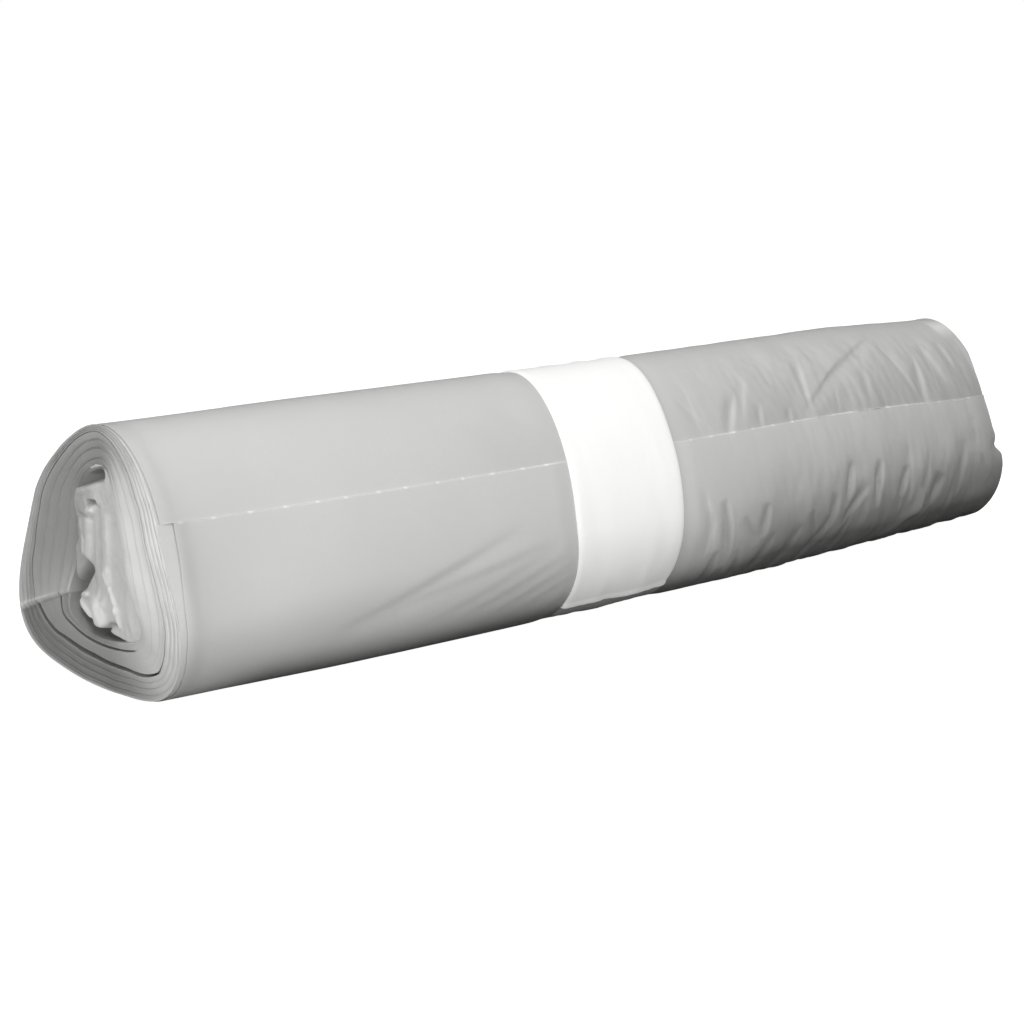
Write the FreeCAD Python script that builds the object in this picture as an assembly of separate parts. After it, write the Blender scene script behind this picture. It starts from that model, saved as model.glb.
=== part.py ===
import FreeCAD, Part

import math
import os

# A coreless roll of thin film bags that lies on its side, and the paper band that keeps it shut.
# +X runs along the roll, -Y is the side of the film's free edge, +Z is up and the floor is z = 0.
# An angle goes round the roll: 0 is the top, 90 the back, 180 the floor and 270 the front.
# The film winds inwards from its free edge: down the front, under the roll and up the back.

# The roll in millimetres
ROLL_LENGTH = 350.0
ROLL_HALF_WIDTH = 34.3
ROLL_HEIGHT = 69.2
TOP_LEAN = 3.6
FORWARD_BOW = 6.4
FLAT_DEPTH = 0.4

# How film sags onto its flat: its widest level as a share of the height, its taper, its soft corner
LOW_WAIST = 0.42
TAPER = 0.29
SAG_DEPTH = 6.5
SAG_SOFTNESS = 2.6

# The open middle
HOLLOW_HALF_WIDTH = 13.5
HOLLOW_BOTTOM = 13.0
HOLLOW_TOP = 57.0
HOLLOW_SAG_DEPTH = 4.0
HOLLOW_BACK_SHIFT = 2.0

# The film's free edge, and how far the last turn's left edge is drawn in from the roll's end
FREE_EDGE_ANGLE = 296.0
FILM_STEP = 0.45
LAST_TURN_INSET = 2.5
LAST_TURN_INSET_END = 150.0
STEP_CLEARANCE = 0.05

# The turns that show at the ends, as shares of the wall from the outside to the hollow
OUTER_TURNS = 3
INNER_TURNS = 2
FIRST_SLIT_SHARE = 0.07
OUTER_TURN_SHARE = 0.1
GROUP_GAP_SHARE = 0.12
INNER_TURN_SHARE = 0.2
SKEW_DOWN = 0.08
SKEW_BACK = 0.05
SLIT_SHARE = 0.024
GROUP_GAP_OPENING = 0.13
GROUP_GAP_SWEEP = 0.7
SLIT_DEPTH = 6.0

# The crumpled inner end of the film: offsets from the hollow's middle at shares of its height
INNER_END_THICKNESS = 1.2
INNER_END_INSET = 5.0
INNER_END_ROOT = 2.0
INNER_END_FOLDS = (
    (0.0, 0.0), (4.5, 0.12), (-1.0, 0.26), (-2.5, 0.38), (3.5, 0.52), (4.0, 0.66), (-2.0, 0.78), (-3.0, 0.9), (0.0, 1.0))

# The paper band, wrapped slightly askew so that its top lies further along the roll than its foot
BAND_WIDTH = 44.5
BAND_CENTRE_X = -19.5
BAND_SKEW = 10.0
BAND_THICKNESS = 0.3
BAND_SINK = 0.6
BAND_END_ANGLE = 228.0

# Creases of the right half: start x, start angle, end x, end angle and depth
CREASES = (
    (36.0, 312.0, 31.0, 299.0, 1.2),
    (44.0, 319.0, 40.0, 305.0, 0.8),
    (73.5, 318.0, 72.0, 302.0, 1.0),
    (84.0, 311.0, 112.0, 329.0, 1.1),
    (137.0, 316.0, 134.0, 299.0, 1.3),
    (151.0, 326.0, 148.0, 308.0, 1.0),
    (84.0, 272.0, 81.0, 259.0, 1.0),
    (98.5, 271.0, 97.5, 252.0, 1.2),
    (115.0, 286.0, 113.0, 254.0, 0.9),
    (21.0, 263.0, 23.0, 244.0, 1.3),
    (39.5, 262.0, 36.0, 248.0, 0.9),
    (70.0, 242.0, 67.0, 230.0, 1.0),
    (133.0, 256.0, 127.0, 244.0, 1.0),
)
CREASE_WIDTH = 7.0
CREASE_LIFT = 0.3

# How finely the outlines are laid out, and how far out of line three points must be for an arc
ARCS_AROUND = 16
ARCS_PER_TURN = 8
STRAIGHT = 0.001
FULL_TURN = 360.0

BOW_RADIUS = ((ROLL_LENGTH / 2) ** 2 + FORWARD_BOW ** 2) / (2 * FORWARD_BOW)
BOW_AXIS = FreeCAD.Vector(0, BOW_RADIUS, 0)
UPWARDS = FreeCAD.Vector(0, 0, 1)
BLOCK_REACH = 2 * (ROLL_LENGTH + ROLL_HEIGHT)


def pressed(z, floor, depth):
    """Lifts what would hang under the floor onto it, with a soft corner."""
    lowest = SAG_SOFTNESS * math.log1p(math.exp(-depth / SAG_SOFTNESS))
    return floor + SAG_SOFTNESS * math.log1p(math.exp((z - floor) / SAG_SOFTNESS)) - lowest


def sagged_oval(angle, half_width, bottom, top, depth):
    """The place, across and up, on an oval of film that has sagged onto its flat."""
    turn = math.radians(angle)
    across, up = math.sin(turn), math.cos(turn)
    waist = bottom + LOW_WAIST * (top - bottom)
    reach = top - waist if up > 0 else waist - bottom + depth
    y = half_width * across * (1.0 - TAPER * up) - TOP_LEAN * ((1.0 + up) / 2.0) ** 2
    return y, pressed(waist + reach * up, bottom, depth)


def bow_shift(x):
    """How far the bow carries the roll back at a place along it."""
    return BOW_RADIUS - math.sqrt(BOW_RADIUS ** 2 - x ** 2)


def roll_point(x, angle, share=0.0):
    """A point of the roll: share goes from 0 on the outside to 1 at the hollow."""
    outer = sagged_oval(angle, ROLL_HALF_WIDTH, 0.0, ROLL_HEIGHT, SAG_DEPTH)
    inner = sagged_oval(angle, HOLLOW_HALF_WIDTH, HOLLOW_BOTTOM, HOLLOW_TOP, HOLLOW_SAG_DEPTH)
    turn = math.radians(angle)
    skew = SKEW_BACK * math.sin(turn) - SKEW_DOWN * math.cos(turn)
    share += skew * (1.0 - (2.0 * share - 1.0) ** 2)
    y = outer[0] + (inner[0] + HOLLOW_BACK_SHIFT - outer[0]) * share
    z = outer[1] + (inner[1] - outer[1]) * share
    return FreeCAD.Vector(x, y + bow_shift(x), z - FLAT_DEPTH)


def inwards(x, angle):
    """The unit direction from the roll's outside to its hollow."""
    return (roll_point(x, angle, 1.0) - roll_point(x, angle)).normalize()


def arc_chain(points):
    """Arcs through every three points in turn, or a line where the three are in line."""
    edges = []
    for first, middle, last in zip(points[::2], points[1::2], points[2::2]):
        height = (last - first).cross(middle - first).Length / (last - first).Length
        straight = height < STRAIGHT
        edge = Part.LineSegment(first, last) if straight else Part.Arc(first, middle, last)
        edges.append(edge.toShape())
    return edges


def section(x, share=0.0, offset=0.0, step=0.0, start=FREE_EDGE_ANGLE):
    """The flat section of the roll at x, at one depth in its wall, with a step where it starts."""
    points = []
    for index in range(2 * ARCS_AROUND + 1):
        wound = index / (2 * ARCS_AROUND)
        angle = start - FULL_TURN * wound
        points.append(roll_point(x, angle, share) + inwards(x, angle) * (offset + step * wound))
    if not step:
        points[-1] = points[0]
    edges = arc_chain(points)
    if step:
        edges.append(Part.makeLine(points[-1], points[0]))
    return Part.Face(Part.Wire(edges))


def bowed(step):
    """The solid that the middle section makes along the bowed roll, cut square at both ends."""
    swing = math.degrees(math.asin(ROLL_LENGTH / 2 / (BOW_RADIUS - 2 * ROLL_HALF_WIDTH)))
    start = section(0.0, step=step)
    start.rotate(BOW_AXIS, UPWARDS, -swing)
    whole = start.revolve(BOW_AXIS, UPWARDS, 2 * swing)
    corner = FreeCAD.Vector(-ROLL_LENGTH / 2, -BLOCK_REACH, -BLOCK_REACH)
    return whole.common(Part.makeBox(ROLL_LENGTH, 2 * BLOCK_REACH, 2 * BLOCK_REACH, corner))


def along_band(offset, step=0.0, start=FREE_EDGE_ANGLE):
    """A straight run of the section past the band, where the bow is too slight to show."""
    turn = math.asin(BAND_CENTRE_X / BOW_RADIUS)
    reach = FreeCAD.Vector(math.cos(turn), math.sin(turn), 0) * (BAND_WIDTH + abs(BAND_SKEW))
    face = section(0.0, offset=offset, step=step, start=start)
    face.rotate(BOW_AXIS, UPWARDS, math.degrees(turn))
    face.translate(-reach)
    return face.extrude(2 * reach)


def above(solid, level):
    """The part of a solid that lies over one level."""
    corner = FreeCAD.Vector(-BLOCK_REACH, -BLOCK_REACH, level - BLOCK_REACH)
    return solid.cut(Part.makeBox(2 * BLOCK_REACH, 2 * BLOCK_REACH, BLOCK_REACH, corner))


def strip(near, far):
    """The flat face between two rows of points."""
    sides = arc_chain(near) + [Part.makeLine(near[-1], far[-1])]
    sides += arc_chain(far[::-1]) + [Part.makeLine(far[0], near[0])]
    return Part.Face(Part.Wire(sides))


def last_turn_cut():
    """What is missing where the last turn's left edge is drawn in from the roll's end."""
    x = -ROLL_LENGTH / 2
    near, far = [], []
    sweep = FREE_EDGE_ANGLE - LAST_TURN_INSET_END
    for index in range(-1, 2 * ARCS_PER_TURN):
        wound = sweep * index / (2 * ARCS_PER_TURN)
        angle = FREE_EDGE_ANGLE - wound
        depth = FILM_STEP * (1.0 + wound / FULL_TURN) - STEP_CLEARANCE
        near.append(roll_point(x, angle) + inwards(x, angle) * depth)
        far.append(roll_point(x, angle) - inwards(x, angle) * SLIT_DEPTH)
    return strip(near, far).extrude(FreeCAD.Vector(LAST_TURN_INSET, 0, 0))


def slit_place(turns):
    """How deep the slit lies after some turns: through the outer group, the gap and the inner group."""
    outer = FIRST_SLIT_SHARE + min(turns, OUTER_TURNS) * OUTER_TURN_SHARE
    gap = max(0.0, min(turns - OUTER_TURNS, 1.0)) * GROUP_GAP_SHARE
    return outer + gap + max(0.0, turns - OUTER_TURNS - 1) * INNER_TURN_SHARE


def slit_opening(turns):
    """The slit's share of the wall, which grows under the inner group because the outer one sags."""
    swept = max(0.0, min((turns - OUTER_TURNS) / GROUP_GAP_SWEEP, 1.0))
    return SLIT_SHARE + GROUP_GAP_OPENING * math.sin(math.pi * swept) ** 2


def turn_slits(x, depth):
    """The spiral slit that parts the turns at one end of the roll."""
    last = OUTER_TURNS + INNER_TURNS
    count = 2 * last * ARCS_PER_TURN
    near, far = [], []
    for index in range(count + 1):
        turns = last * index / count
        angle = FREE_EDGE_ANGLE - FULL_TURN * turns
        place, opening = slit_place(turns), slit_opening(turns)
        near.append(roll_point(x, angle, place - opening / 2))
        far.append(roll_point(x, angle, place + opening / 2))
    return strip(near, far).extrude(FreeCAD.Vector(depth, 0, 0))


def hollow():
    """The open middle, a straight way through the bowed roll."""
    return section(-ROLL_LENGTH / 2, share=1.0).extrude(FreeCAD.Vector(ROLL_LENGTH, 0, 0))


def inner_end():
    """The crumpled start of the film, a loose leaf that crosses the hollow."""
    x = INNER_END_INSET - ROLL_LENGTH / 2
    height = HOLLOW_TOP - HOLLOW_BOTTOM + 2 * INNER_END_ROOT
    half = FreeCAD.Vector(0, INNER_END_THICKNESS / 2, 0)
    near, far = [], []
    for offset, share in INNER_END_FOLDS:
        z = HOLLOW_BOTTOM - INNER_END_ROOT + share * height
        middle = FreeCAD.Vector(x, HOLLOW_BACK_SHIFT + FORWARD_BOW - TOP_LEAN / 2 + offset, z)
        near.append(middle - half)
        far.append(middle + half)
    return strip(near, far).extrude(FreeCAD.Vector(-2 * x, 0, 0))


def crease(x0, angle0, x1, angle1, depth):
    """One crease: a dart that is deepest half-way and runs out into the film at both ends."""
    start = roll_point(x0, angle0) - inwards(x0, angle0) * CREASE_LIFT
    end = roll_point(x1, angle1) - inwards(x1, angle1) * CREASE_LIFT
    x, angle = (x0 + x1) / 2, (angle0 + angle1) / 2
    middle, down = roll_point(x, angle), inwards(x, angle)
    side = down.cross(end - start).normalize() * (CREASE_WIDTH / 2)
    rim = [start, middle + side - down * CREASE_LIFT, end, middle - side - down * CREASE_LIFT]
    faces = []
    for tip in (middle + down * depth, middle - down * CREASE_WIDTH):
        for near, far in zip(rim, rim[1:] + rim[:1]):
            faces.append(Part.Face(Part.makePolygon([tip, near, far, tip])))
    shell = Part.Shell(faces)
    shell.sewShape()
    return Part.Solid(shell)


def band_zone():
    """A block between the band's two edges, far wider and higher than the roll."""
    foot = BAND_CENTRE_X - BAND_SKEW / 2
    outline = []
    for side, level in ((-1, -BLOCK_REACH), (1, -BLOCK_REACH), (1, BLOCK_REACH), (-1, BLOCK_REACH)):
        x = foot + side * BAND_WIDTH / 2 + BAND_SKEW * level / ROLL_HEIGHT
        outline.append(FreeCAD.Vector(x, -BLOCK_REACH, level))
    face = Part.Face(Part.makePolygon(outline + outline[:1]))
    return face.extrude(FreeCAD.Vector(0, 2 * BLOCK_REACH, 0))


def film_roll(squeezed):
    """The whole film as one solid: its turns, its free edge, its hollow and its crumpled inner end."""
    end = ROLL_LENGTH / 2
    roll = bowed(FILM_STEP).cut(hollow()).fuse(inner_end())
    roll = roll.cut([last_turn_cut(), turn_slits(-end, SLIT_DEPTH), turn_slits(end, -SLIT_DEPTH)])
    roll = roll.cut([crease(*places) for places in CREASES])
    return above(roll, 0.0).cut(band_zone().cut(squeezed))


def paper_band(squeezed):
    """The paper strip round the middle, which ends on itself low on the front."""
    outside = along_band(BAND_SINK - BAND_THICKNESS, -BAND_THICKNESS, BAND_END_ANGLE)
    return above(outside, 0.0).common(band_zone()).cut(squeezed)


os.makedirs("parts", exist_ok=True)
under_band = above(along_band(BAND_SINK), BAND_THICKNESS)
nodes = {"film_roll": film_roll(under_band), "paper_band": paper_band(under_band)}
box = Part.makeCompound(list(nodes.values())).optimalBoundingBox()
to_centre = FreeCAD.Vector(-box.Center.x, -box.Center.y, 0)
for name, solid in nodes.items():
    solid.translate(to_centre)
    solid.exportStep(f"parts/{name}.step")
    size = solid.optimalBoundingBox()
    print(name, len(solid.Solids), "solid", f"{size.XLength:.1f} x {size.YLength:.1f} x {size.ZLength:.1f}")
print("moved to the centre by", f"{to_centre.x:.3f} {to_centre.y:.3f}")
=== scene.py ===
# %% [markdown]
# # A roll of bin bags with a paper band
# One long run of thin, milky polythene bags, folded and perforated, is wound up without a core, and a
# strip of white paper keeps the roll shut. It lies on its side, so the soft film has sagged. The packed
# model gives the place and the size of both pieces, and here they get their looks.

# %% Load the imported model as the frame
import math
import random

import bmesh
import bpy
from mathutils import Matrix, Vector, noise


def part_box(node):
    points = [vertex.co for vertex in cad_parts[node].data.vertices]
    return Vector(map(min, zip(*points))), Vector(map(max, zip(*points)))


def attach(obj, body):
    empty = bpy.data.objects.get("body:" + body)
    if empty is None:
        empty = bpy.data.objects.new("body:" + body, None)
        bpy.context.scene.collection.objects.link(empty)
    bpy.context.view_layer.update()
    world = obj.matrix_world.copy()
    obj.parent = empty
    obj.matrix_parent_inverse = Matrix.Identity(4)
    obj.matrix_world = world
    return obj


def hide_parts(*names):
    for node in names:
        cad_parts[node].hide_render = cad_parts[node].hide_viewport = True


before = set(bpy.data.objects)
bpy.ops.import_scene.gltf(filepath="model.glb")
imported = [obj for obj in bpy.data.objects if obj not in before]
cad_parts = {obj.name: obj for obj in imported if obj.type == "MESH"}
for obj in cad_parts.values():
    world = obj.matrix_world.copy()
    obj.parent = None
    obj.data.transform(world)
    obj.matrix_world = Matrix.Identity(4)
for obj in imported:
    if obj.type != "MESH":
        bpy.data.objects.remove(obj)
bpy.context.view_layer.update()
MM = 0.001

# %% [markdown]
# ## The camera
# The photograph is taken from the roll's left end, a little from above, with a long lens. A camera in
# Blender has a sensor width and a focal length in millimetres, so the focal length in pixels is scaled by
# the sensor. The camera looks along its own -Z, and a turn of 90 degrees about X makes it look level.

# %% Place the camera
IMAGE_PX = 1024
FOCAL_PX = 2400.0
SENSOR_WIDTH = 36.0
CAMERA_PLACE = Vector((-517.3, -484.8, 159.4)) * MM
CAMERA_HEADING = 44.92
CAMERA_DIP = 10.97

camera_data = bpy.data.cameras.new("camera")
camera_data.sensor_width = SENSOR_WIDTH
camera_data.lens = FOCAL_PX * SENSOR_WIDTH / IMAGE_PX
camera = bpy.data.objects.new("camera", camera_data)
camera.location = CAMERA_PLACE
camera.rotation_euler = (math.radians(90 - CAMERA_DIP), 0, math.radians(CAMERA_HEADING - 90))
bpy.context.scene.collection.objects.link(camera)
bpy.context.scene.camera = camera
bpy.context.scene.view_settings.view_transform = "Standard"
print("camera lens in mm:", camera_data.lens)

# %% [markdown]
# ## The form of a sagged roll
# The section is an oval that tapers towards the top, and what would hang below the floor is pressed up
# onto it with a soft corner. One function gives every point from three numbers: the place along the roll,
# the angle round it (0 top, 90 back, 180 floor, 270 front) and how deep in the wall it lies, from 0 on the
# outside to 1 at the hollow.

# %% Describe the roll's form in millimetres
ROLL_LENGTH = 350.0
END = ROLL_LENGTH / 2
HALF_WIDTH = 34.3
ROLL_HEIGHT = 69.4
TOP_LEAN = 3.6
FORWARD_BOW = 6.4
FLAT_DEPTH = 0.4
BAND_X = -19.5
LOW_WAIST = 0.42
TAPER = 0.29
SAG_DEPTH = 6.5
SOFTNESS_LEFT = 2.6
SOFTNESS_MIDDLE = 1.9
SOFTNESS_RIGHT = 1.1
SOFT_CORNER_X = (60.0 - END, 10.0 - END)
CRISP_CORNER_X = (BAND_X, BAND_X + 60.0)
HOLLOW_HALF_WIDTH = 13.5
HOLLOW_BOTTOM = 13.0
HOLLOW_TOP = 57.0
HOLLOW_SAG_DEPTH = 4.0
HOLLOW_BACK_SHIFT = 2.0
LEFT_END_DROP = 0.6
RIGHT_END_DROP = 2.2
END_DROP_REACH = 70.0
CORNER_LIFT = 3.6
CORNER_LIFT_ANGLE = 143.0
CORNER_LIFT_SPREAD = 26.0
CORNER_LIFT_REACH = 45.0
CORNER_LIFT_INSIDE = 0.7
# How far back the left end leans, at which height and over what spread: its front, its back and its hollow
LEFT_LEAN_FRONT = (3.4, 36.0, 17.0)
LEFT_LEAN_BACK = (2.6, 52.0, 10.0)
LEFT_LEAN_HOLLOW = 1.2
LEFT_LEAN_REACH = 60.0
LEFT_LEAN_BLEND = (0.1875, 0.8125)
# Where the left mouth flares: the angle, its spread, and how far across and up
MOUTH_FLARES = ((230.0, 24.0, -7.0, 0.0), (40.0, 22.0, 4.5, 0.5))
MOUTH_FLARE_REACH = 14.0
FULL_TURN = 360.0


def smooth(value):
    """Goes softly from 0 to 1 as the value does."""
    value = min(max(value, 0.0), 1.0)
    return value * value * (3.0 - 2.0 * value)


def between(value, start, end):
    """Goes softly from 0 to 1 as the value goes from start to end, up or down."""
    return smooth((value - start) / (end - start))


def near_left(x, reach):
    """1 at the left end, and 0 further from it than the reach."""
    return between(x, reach - END, -END)


def near_right(x, reach):
    """1 at the right end, and 0 further from it than the reach."""
    return between(x, END - reach, END)


def hump(distance, spread):
    """A soft hump: 1 at distance 0, and nearly 0 past twice the spread."""
    return math.exp(-((distance / spread) ** 2))


def corner_softness(x):
    """How soft the corner at the floor is: softest at the left end, crisp on the slack right half."""
    left = SOFTNESS_MIDDLE + (SOFTNESS_LEFT - SOFTNESS_MIDDLE) * between(x, *SOFT_CORNER_X)
    return left + (SOFTNESS_RIGHT - SOFTNESS_MIDDLE) * between(x, *CRISP_CORNER_X)


def pressed(z, floor, depth, softness):
    """Lifts what would hang under the floor onto it, with a soft corner."""
    lowest = softness * math.log1p(math.exp(-depth / softness))
    return floor + softness * math.log1p(math.exp((z - floor) / softness)) - lowest


def sagged_oval(angle, half_width, bottom, top, depth, softness):
    """The place, across and up, on an oval of film that has sagged onto its flat."""
    turn = math.radians(angle)
    across, up = math.sin(turn), math.cos(turn)
    waist = bottom + LOW_WAIST * (top - bottom)
    reach = top - waist if up > 0 else waist - bottom + depth
    y = half_width * across * (1.0 - TAPER * up) - TOP_LEAN * ((1.0 + up) / 2.0) ** 2
    return y, pressed(waist + reach * up, bottom, depth, softness)


def height_at(x):
    """The roll's height, which drops a little towards both ends."""
    left = LEFT_END_DROP * near_left(x, END_DROP_REACH)
    return ROLL_HEIGHT - left - RIGHT_END_DROP * near_right(x, END_DROP_REACH)


def turned(angle, middle):
    """The angle from a middle angle, between minus and plus half a turn."""
    return (angle - middle + FULL_TURN / 2) % FULL_TURN - FULL_TURN / 2


def left_lean(angle, height, share):
    """How far back a point of the left end leans."""
    front = (1.0 - math.sin(math.radians(angle))) / 2.0
    outside = 0.0
    for part, (lean, level, spread) in ((front, LEFT_LEAN_FRONT), (1.0 - front, LEFT_LEAN_BACK)):
        outside += between(part, *LEFT_LEAN_BLEND) * lean * hump(height - level, spread)
    return outside * (1.0 - share) + LEFT_LEAN_HOLLOW * front * share


def roll_place(x, angle, share=0.0):
    """A point of the roll in millimetres; share goes from 0 on the outside to 1 at the hollow."""
    soft = corner_softness(x)
    outer = sagged_oval(angle, HALF_WIDTH, 0.0, height_at(x), SAG_DEPTH, soft)
    inner = sagged_oval(angle, HOLLOW_HALF_WIDTH, HOLLOW_BOTTOM, HOLLOW_TOP, HOLLOW_SAG_DEPTH, soft)
    y = outer[0] + (inner[0] + HOLLOW_BACK_SHIFT - outer[0]) * share
    z = outer[1] + (inner[1] - outer[1]) * share
    corner = hump(turned(angle, CORNER_LIFT_ANGLE), CORNER_LIFT_SPREAD) * near_left(x, CORNER_LIFT_REACH)
    z += CORNER_LIFT * corner * (1.0 - share * (1.0 - CORNER_LIFT_INSIDE))
    y += left_lean(angle, outer[1], share) * near_left(x, LEFT_LEAN_REACH)
    at_mouth = share ** 2 * near_left(x, MOUTH_FLARE_REACH)
    for middle, spread, across, up in MOUTH_FLARES:
        flare = at_mouth * hump(turned(angle, middle), spread)
        y, z = y + across * flare, z + up * flare
    bow = FORWARD_BOW * (x / END) ** 2
    return Vector((x, y + bow + roll_shift, z - FLAT_DEPTH))


def facing(angle, middle, spread, strength=1.0):
    """The strength where the roll's side faces the same way as the middle angle, 0 past the spread."""
    return strength * smooth(1.0 - abs(turned(angle, middle)) / spread)


def cloudy(place, fade, finer=2.0):
    """Noise of three octaves, each so much finer than the last; a high fade makes it smooth."""
    return noise.fractal(Vector(place), fade, finer, 3)


def inwards(x, angle):
    """The unit direction from the roll's outside to its hollow."""
    return (roll_place(x, angle, 1.0) - roll_place(x, angle)).normalized()


# The CAD model is centred on its own box, so the front of the two has to meet
roll_shift = 0.0
nominal_front = min(roll_place(0.0, angle).y for angle in range(int(FULL_TURN)))
roll_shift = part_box("film_roll")[0].y / MM - nominal_front
print("the roll's axis is moved by", round(roll_shift, 2), "mm")

# %% [markdown]
# ## From a flat grid to a closed tube
# Film and paper start flat, and so do these pieces. The columns of a grid from bmesh go round the roll and
# its rows along the skin. Each vertex is moved to its place, and where the first and last column or row
# meet they are merged into a closed solid. A few numbers are stored with each vertex for the materials:
# how deep in the wall it lies, how much painted light it gets where light would shine through, how much
# painted shade, and how much painted highlight it gets near an edge.

# %% Wrap a grid into a closed tube
MERGE_DISTANCE = 0.002 * MM
SHARP_ANGLE = math.radians(38)
# The masks after the first carry painted light, painted shade and a painted highlight along edges
MASKS = ("layer", "painted_light", "shade", "edge")


def laid_out(columns, rows, place):
    """A grid: place gives the position in mm and the masks for two shares from 0 to 1."""
    mesh = bmesh.new()
    bmesh.ops.create_grid(mesh, x_segments=columns, y_segments=rows, size=1.0)
    stored = [mesh.verts.layers.float.new(mask) for mask in MASKS]
    for vert in mesh.verts:
        position, masks = place((vert.co.x + 1.0) / 2.0, (vert.co.y + 1.0) / 2.0)
        vert.co = position * MM
        for layer, value in zip(stored, masks):
            vert[layer] = value
    return mesh


def wrapped(name, columns, rows, place):
    """A closed tube: place gives the position in mm and the masks of a column and a row."""
    def counted(across, up):
        return place(round(across * columns) % columns, round(up * rows) % rows)

    mesh = laid_out(columns, rows, counted)
    bmesh.ops.remove_doubles(mesh, verts=mesh.verts, dist=MERGE_DISTANCE)
    bmesh.ops.recalc_face_normals(mesh, faces=mesh.faces)
    return finished(name, mesh)


def finished(name, mesh):
    """Makes an object of a bmesh, smooth except at its real edges."""
    for face in mesh.faces:
        face.smooth = True
    open_edges = sum(1 for edge in mesh.edges if not edge.is_manifold)
    data = bpy.data.meshes.new(name)
    mesh.to_mesh(data)
    mesh.free()
    data.set_sharp_from_angle(angle=SHARP_ANGLE)
    piece = bpy.data.objects.new(name, data)
    bpy.context.scene.collection.objects.link(piece)
    print(name, len(data.polygons), "faces,", open_edges, "open edges")
    return piece


# %% [markdown]
# ## Where the paper band lies
# The band sits slightly askew: its top lies further along the roll than its foot, and low down its left
# edge is drawn in. The film under it is squeezed, and that is needed before the film is made.

# %% Describe the paper band's place
BAND_WIDTH = 44.5
BAND_SKEW = 10.0
BAND_LOW_LEFT = 1.8
BAND_LOW_Z = (34.0, 10.0)
BAND_THICKNESS = 0.3
BAND_SINK = 0.6
BAND_END_ANGLE = 228.0
SQUEEZE_REACH = 7.0


def band_edge(side, z):
    """Where along the roll the band's left (-1) or right (1) edge lies at a height."""
    low_left = BAND_LOW_LEFT * between(z, *BAND_LOW_Z) * (1.0 - side) / 2.0
    return BAND_X + side * BAND_WIDTH / 2 + BAND_SKEW * (z / ROLL_HEIGHT - 0.5) + low_left


def squeeze(x, z):
    """How much the band squeezes the film: 1 under it, and fading out beside it."""
    outside = max(band_edge(-1, z) - x, x - band_edge(1, z))
    return 1.0 - smooth(outside / SQUEEZE_REACH)


# %% [markdown]
# ## Wrinkles
# The left half of the roll is taut, with a few faint creases by the band. The right half was wound slack:
# short creases lie above the free edge and below the middle of the front. A crease is a valley with a low
# ridge on both sides that runs out at its ends, so it is worked out from the distance to a line.

# %% Describe the creases
EDGE_ANGLE = 296.0
EDGE_DROP = 3.2
EDGE_DROP_X = (60.0, 170.0)
# Start x, start angle, end x, end angle, depth and width in millimetres and degrees
CREASES = (
    (37.5, 311, 30.5, 297, 1.5, 2), (45, 318, 38.5, 303, 0.8, 2.2),
    (48, 305, 45.5, 297, 0.9, 1.5), (62, 302, 60, 297, 0.8, 1.4),
    (76, 323, 72, 302, 1.1, 2), (73.5, 302, 96, 320, 0.9, 1.8),
    (92, 315, 118, 333, 1.2, 2.6), (125, 324, 131.5, 297, 0.8, 2),
    (138, 316, 135, 296, 1.6, 2), (147, 322, 150, 306, 1.2, 2.4),
    (158, 324, 160, 308, 0.9, 2.2), (106, 312, 103, 298, 0.6, 2.2),
    (88, 307, 86, 297, 0.5, 1.5), (84.5, 270, 82, 256, 1.2, 1.8),
    (99.5, 268, 97.5, 253, 1.3, 1.8), (115, 263, 113, 253, 1.1, 1.8),
    (75, 257, 73.5, 245, 1, 1.8), (90, 258, 82, 245, 1, 2),
    (63, 251, 65.5, 238, 0.8, 1.8), (21, 262, 23, 239, 1.7, 2),
    (40, 260, 39, 249, 1, 1.8), (30, 256, 35, 246, 0.6, 2),
    (71, 242, 65, 223, 1.4, 2), (85, 247, 81, 222, 1, 2.2),
    (56, 243, 53, 226, 0.8, 2), (43, 242, 40, 226, 0.8, 2),
    (18, 239, 18, 223, 1.2, 1.8), (29, 238, 31, 225, 0.7, 1.8),
    (124, 249, 122, 237, -1, 2), (122.5, 240, 110, 227, -1, 2),
    (134.5, 255, 131, 244, 1.3, 2.6), (117.5, 287, 116.5, 250, 0.35, 1.6),
    (150, 268, 146, 248, 0.8, 3), (160, 292, 158, 272, 0.7, 3),
    (-66, 314, -43, 297.5, 0.8, 4), (-56, 322, -42, 308, 0.35, 3),
    (-118.5, 247, -72, 269, 0.4, 3), (-100, 250, -59, 262, 0.3, 3),
    (-90, 241, -60, 257, 0.22, 2.4), (-80, 239, -52, 255, 0.26, 2.2),
    (-70, 237, -46, 252, 0.24, 2), (-60, 236, -43, 248, 0.2, 2),
    (14, 312, 20, 300, 0.5, 2.2), (12, 270, 14, 250, 0.5, 2),
)
MM_PER_DEGREE = 0.62
CREASE_REACH = 3.2
CREASE_STRETCH = 0.32
CREASE_NARROWING = 0.88
CREASE_LEAN = -0.4
RIDGE_SHARE = 0.3
CREASE_STRENGTH = 0.6
LOW_STRENGTH = 1.2
SLACK_START = 8.0
SLACK_FADE = 60.0
SLACK_SWELL = 0.7
TAUT_SWELL = 0.05
NOISE_GRAIN = (0.075, 0.045)
NOISE_LAYER = 7.0
LOW_START = 10.0
CREASE_MARGIN = 9.0
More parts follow.
